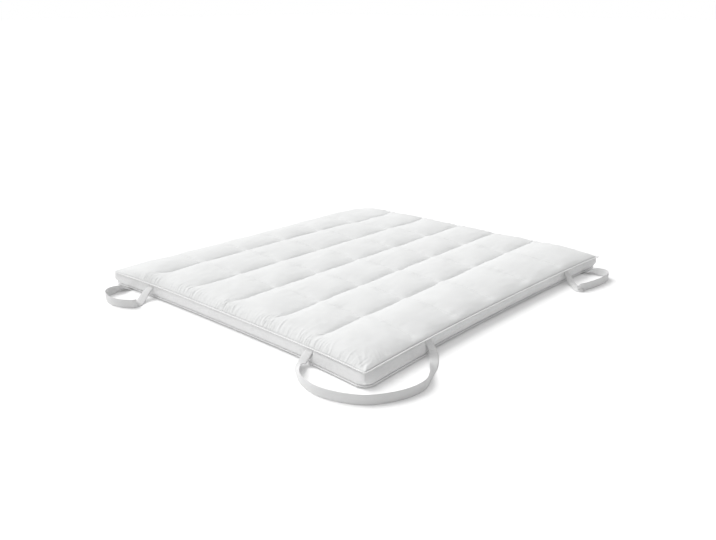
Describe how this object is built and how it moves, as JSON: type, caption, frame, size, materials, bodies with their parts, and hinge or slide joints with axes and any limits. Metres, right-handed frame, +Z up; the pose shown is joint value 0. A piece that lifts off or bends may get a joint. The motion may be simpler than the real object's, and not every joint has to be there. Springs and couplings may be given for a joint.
{
  "type": "mattress topper",
  "caption": "Quilted filled mattress topper, lying flat, with a corded border and an elastic strap at each corner.",
  "frame": {"origin": "middle of the underside, on the surface that the topper lies on", "axes": "+Z up, +Y along the topper's length and its quilted channels from the near end to the far end, +X across it to the right"},
  "size_m": [2.0799, 2.2517, 0.1231],
  "materials": {
    "cover_fabric": "fine matt plain weave, quilted",
    "border_fabric": "matt plain weave",
    "piping_fabric": "matt, cord in a bias strip",
    "strap_elastic": "ribbed elastic webbing, slight sheen"
  },
  "bodies": {
    "root": {"topper_body": "cover_fabric", "border_band": "border_fabric", "top_piping": "piping_fabric", "bottom_piping": "piping_fabric", "strap_near_corner": "strap_elastic", "strap_left_corner": "strap_elastic", "strap_right_corner": "strap_elastic", "strap_far_corner": "strap_elastic"}
  },
  "joints": []
}
